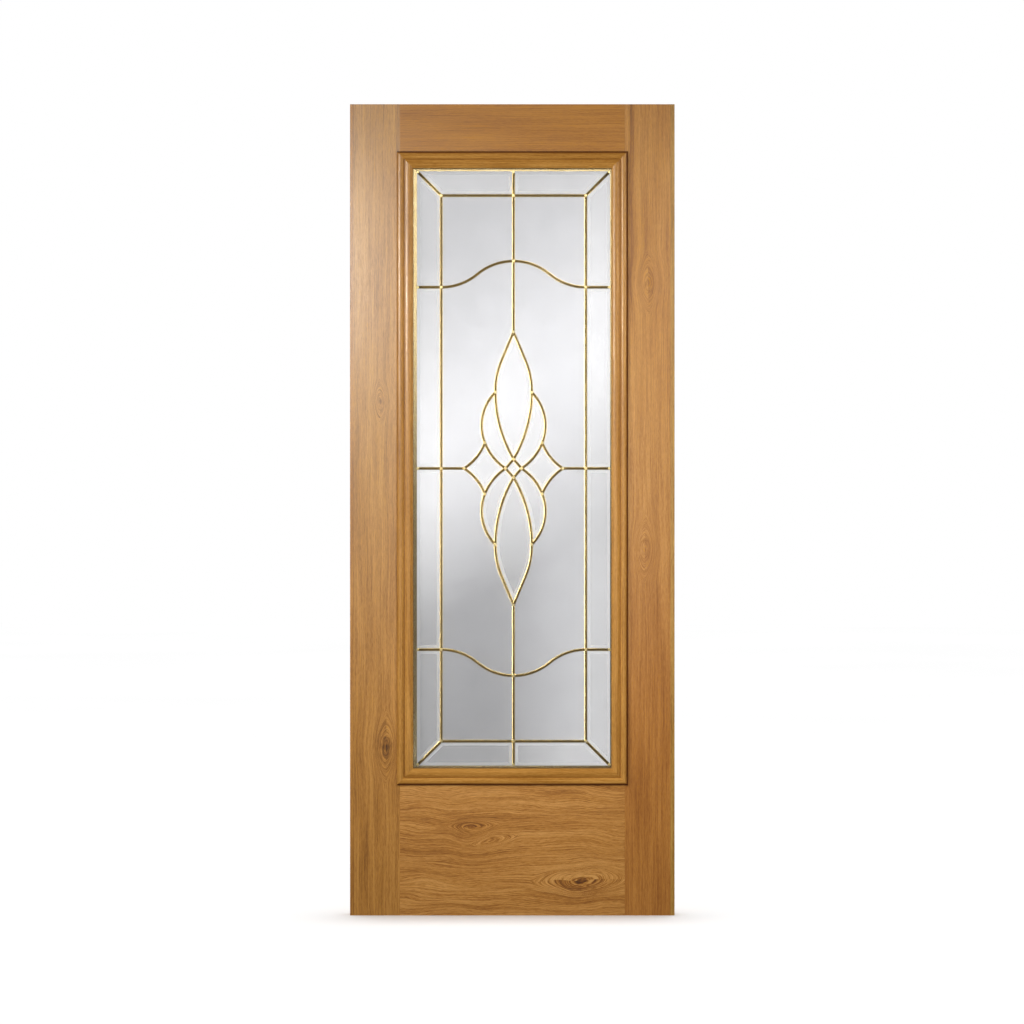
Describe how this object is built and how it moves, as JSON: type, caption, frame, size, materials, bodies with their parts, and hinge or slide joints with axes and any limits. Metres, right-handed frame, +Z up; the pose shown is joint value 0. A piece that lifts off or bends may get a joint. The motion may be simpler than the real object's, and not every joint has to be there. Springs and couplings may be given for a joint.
{
  "type": "glazed oak door leaf",
  "caption": "Rectangular oak door leaf with tall stiles and rails, mitred mouldings and a sealed leaded-style panel of bevelled glass pieces in brass came",
  "frame": {"origin": "middle of the leaf's bottom edge, at mid thickness", "axes": "X across the leaf, Y through its thickness with the front at -Y, Z up the leaf"},
  "size_m": [0.813, 0.062, 2.032],
  "materials": {
    "stile_oak": "satin lacquered oak, grain upright",
    "rail_oak": "satin lacquered oak, grain across",
    "lipping_oak": "satin lacquered oak",
    "moulding_oak": "satin lacquered oak, grain along the length",
    "tenon_beech": "plain beech",
    "clear_glass": "polished",
    "bevelled_glass": "polished with bevelled edges",
    "field_glass": "satin",
    "came_brass": "bright",
    "spacer_metal": "mill",
    "edge_sealant": "matte",
    "glazing_tape": "matte",
    "setting_block": "matte"
  },
  "bodies": {
    "root": {"back_bead_bottom": "moulding_oak", "back_bead_left": "moulding_oak", "back_bead_right": "moulding_oak", "back_bead_top": "moulding_oak", "back_pane": "clear_glass", "back_spacer": "spacer_metal", "back_tape": "glazing_tape", "border_came": "came_brass", "bottom_rail": "rail_oak", "brass_came": "came_brass", "edge_seal": "edge_sealant", "front_moulding_bottom": "moulding_oak", "front_moulding_left": "moulding_oak", "front_moulding_right": "moulding_oak", "front_moulding_top": "moulding_oak", "front_pane": "clear_glass", "front_spacer": "spacer_metal", "front_tape": "glazing_tape", "glass_border_bottom_left": "bevelled_glass", "glass_border_bottom_right": "bevelled_glass", "glass_border_left_bottom": "bevelled_glass", "glass_border_left_lower": "bevelled_glass", "glass_border_left_top": "bevelled_glass", "glass_border_left_upper": "bevelled_glass", "glass_border_right_bottom": "bevelled_glass", "glass_border_right_lower": "bevelled_glass", "glass_border_right_top": "bevelled_glass", "glass_border_right_upper": "bevelled_glass", "glass_border_top_left": "bevelled_glass", "glass_border_top_right": "bevelled_glass", "glass_field": "field_glass", "glass_motif": "bevelled_glass", "left_lipping": "lipping_oak", "left_stile": "stile_oak", "rail_tenons": "tenon_beech", "right_lipping": "lipping_oak", "right_stile": "stile_oak", "setting_blocks": "setting_block", "top_rail": "rail_oak"}
  },
  "joints": []
}
